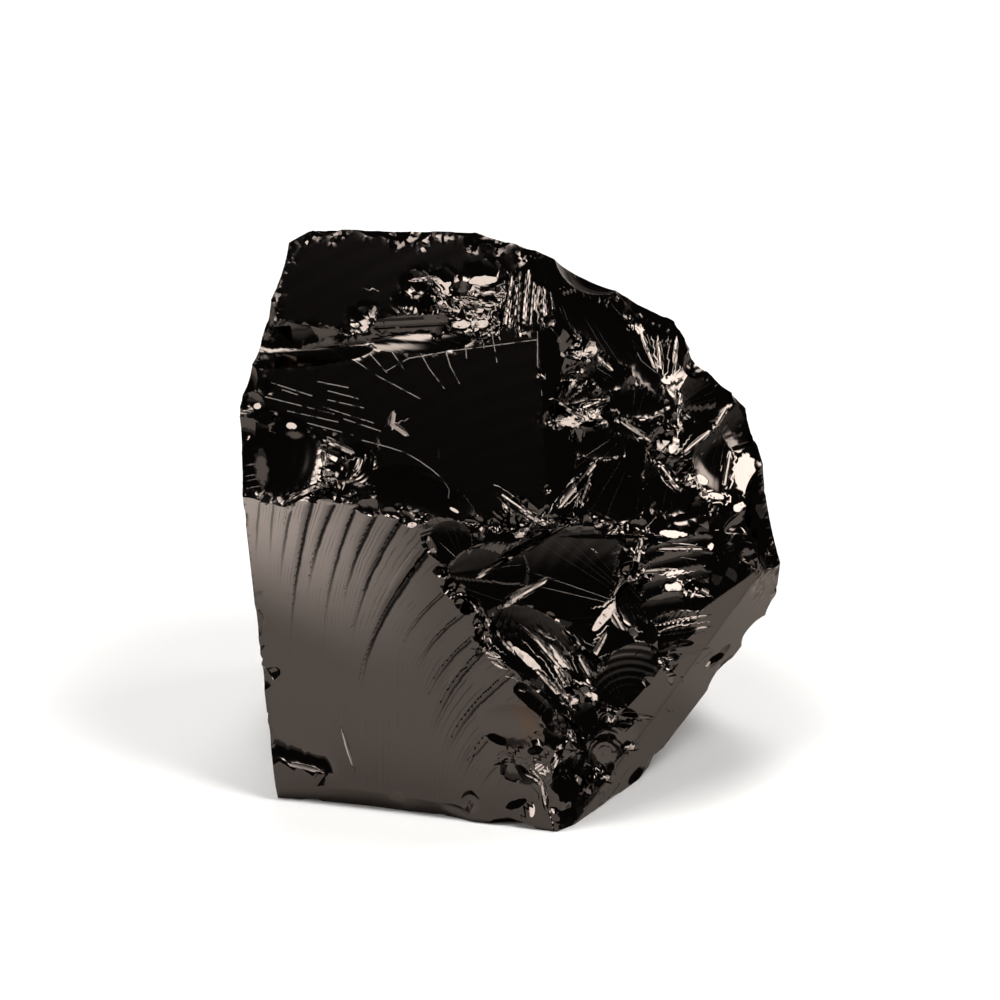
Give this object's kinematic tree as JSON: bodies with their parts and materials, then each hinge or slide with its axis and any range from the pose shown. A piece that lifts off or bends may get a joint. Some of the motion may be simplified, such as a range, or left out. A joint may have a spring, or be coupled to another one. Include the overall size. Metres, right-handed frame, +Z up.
{
  "type": "shungite specimen",
  "caption": "Hand specimen of glassy black shungite: a lump broken on all sides, with a fan-marked front face, a chipped ridge and a flat resting face.",
  "frame": {"origin": "on the plane of the resting face, straight under the middle of the stone", "axes": "+Z up, square to the resting face; -Y towards the viewer who faces the fan-marked front; +X to that viewer's right"},
  "size_m": [0.0538, 0.0432, 0.056],
  "materials": {
    "shungite": "glassy fresh fracture"
  },
  "bodies": {
    "root": {"shungite": "shungite"}
  },
  "joints": []
}
